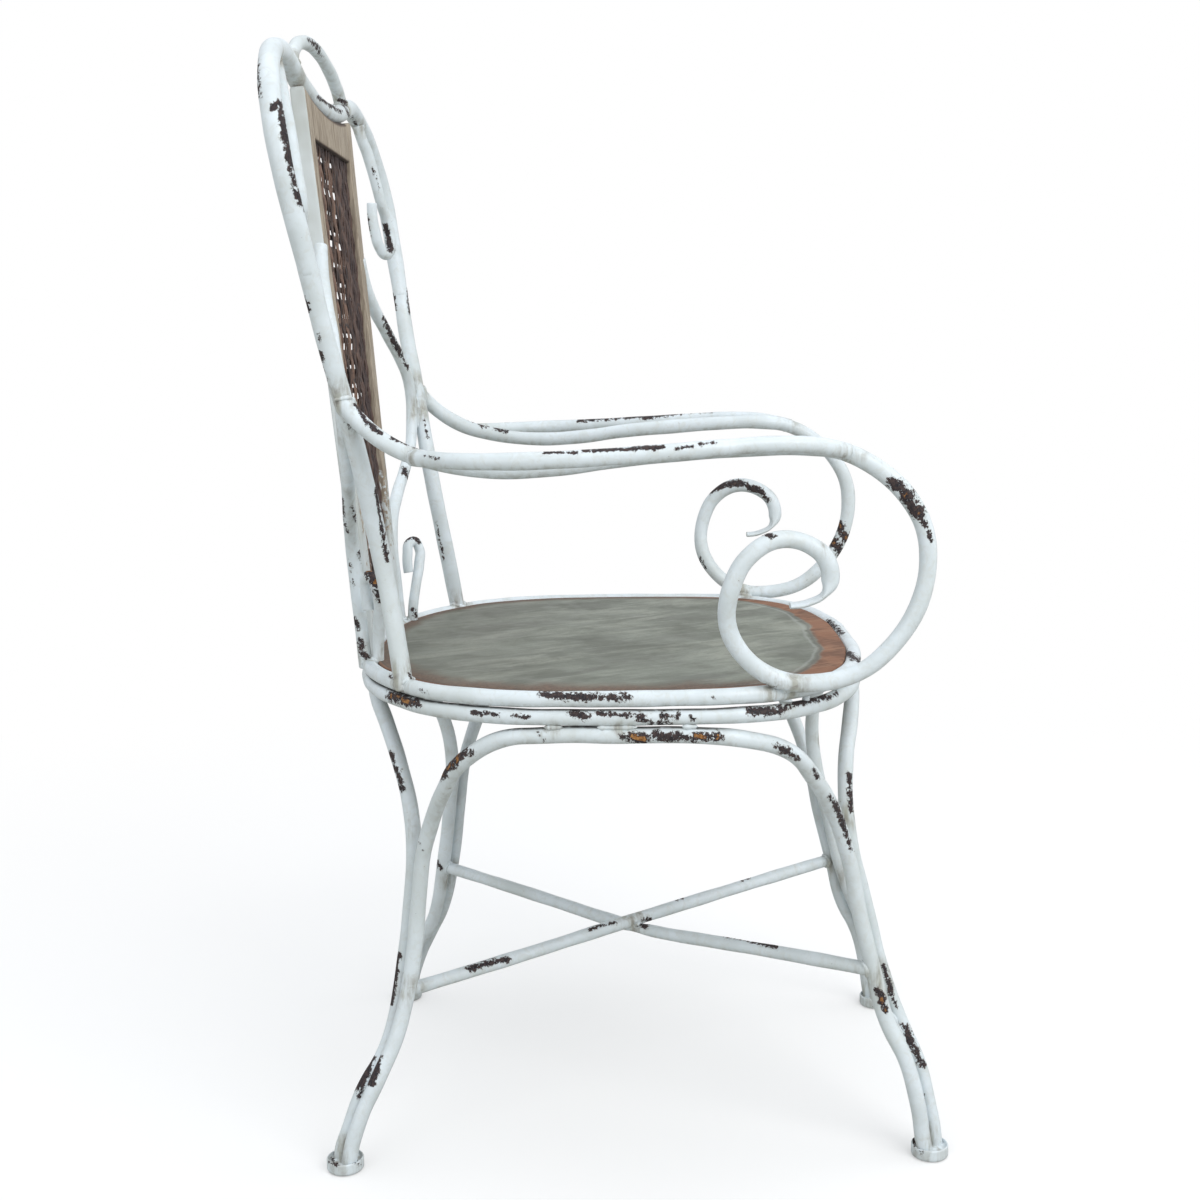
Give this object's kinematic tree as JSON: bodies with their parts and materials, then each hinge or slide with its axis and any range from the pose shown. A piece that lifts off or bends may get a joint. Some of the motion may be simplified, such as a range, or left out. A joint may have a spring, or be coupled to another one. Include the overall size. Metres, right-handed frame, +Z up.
{
  "type": "garden armchair",
  "caption": "Garden armchair of bent, welded and painted steel tube with scrolled arms, splayed arch legs, crossed braces, a sheet-metal seat and a timber-framed woven back splat.",
  "frame": {"origin": "centre of the overall size in plan, on the floor under the feet", "axes": "+Z up, -Y towards the front of the seat, +X towards the sitter's left"},
  "size_m": [0.6252, 0.5724, 1.004],
  "materials": {
    "white_paint": "chipped white gloss paint over rusted steel",
    "seat_paint": "worn grey-green painted sheet with rusted rim",
    "splat_wood": "dry, sun-greyed timber",
    "woven_cane": "dark woven cane"
  },
  "bodies": {
    "root": {"seat_ring_upper": "white_paint", "seat_ring_lower": "white_paint", "seat_sheet": "seat_paint", "seat_tacks": "white_paint", "ring_spacers": "white_paint", "leg_arch_left": "white_paint", "leg_arch_right": "white_paint", "leg_arch_front": "white_paint", "leg_arch_back": "white_paint", "foot_back_left": "white_paint", "foot_back_right": "white_paint", "foot_front_left": "white_paint", "foot_front_right": "white_paint", "brace_upper": "white_paint", "brace_lower": "white_paint", "back_crown": "white_paint", "upright_left": "white_paint", "upright_right": "white_paint", "crest_arch": "white_paint", "back_scroll_left": "white_paint", "back_scroll_right": "white_paint", "splat_stile_left": "splat_wood", "splat_stile_right": "splat_wood", "splat_top_rail": "splat_wood", "splat_bottom_rail": "splat_wood", "splat_woven_panel": "woven_cane", "back_bracket_left": "white_paint", "back_bracket_right": "white_paint", "seat_hook_left": "white_paint", "seat_hook_right": "white_paint", "arm_left": "white_paint", "arm_right": "white_paint", "arm_rail_left": "white_paint", "arm_rail_right": "white_paint"}
  },
  "joints": []
}
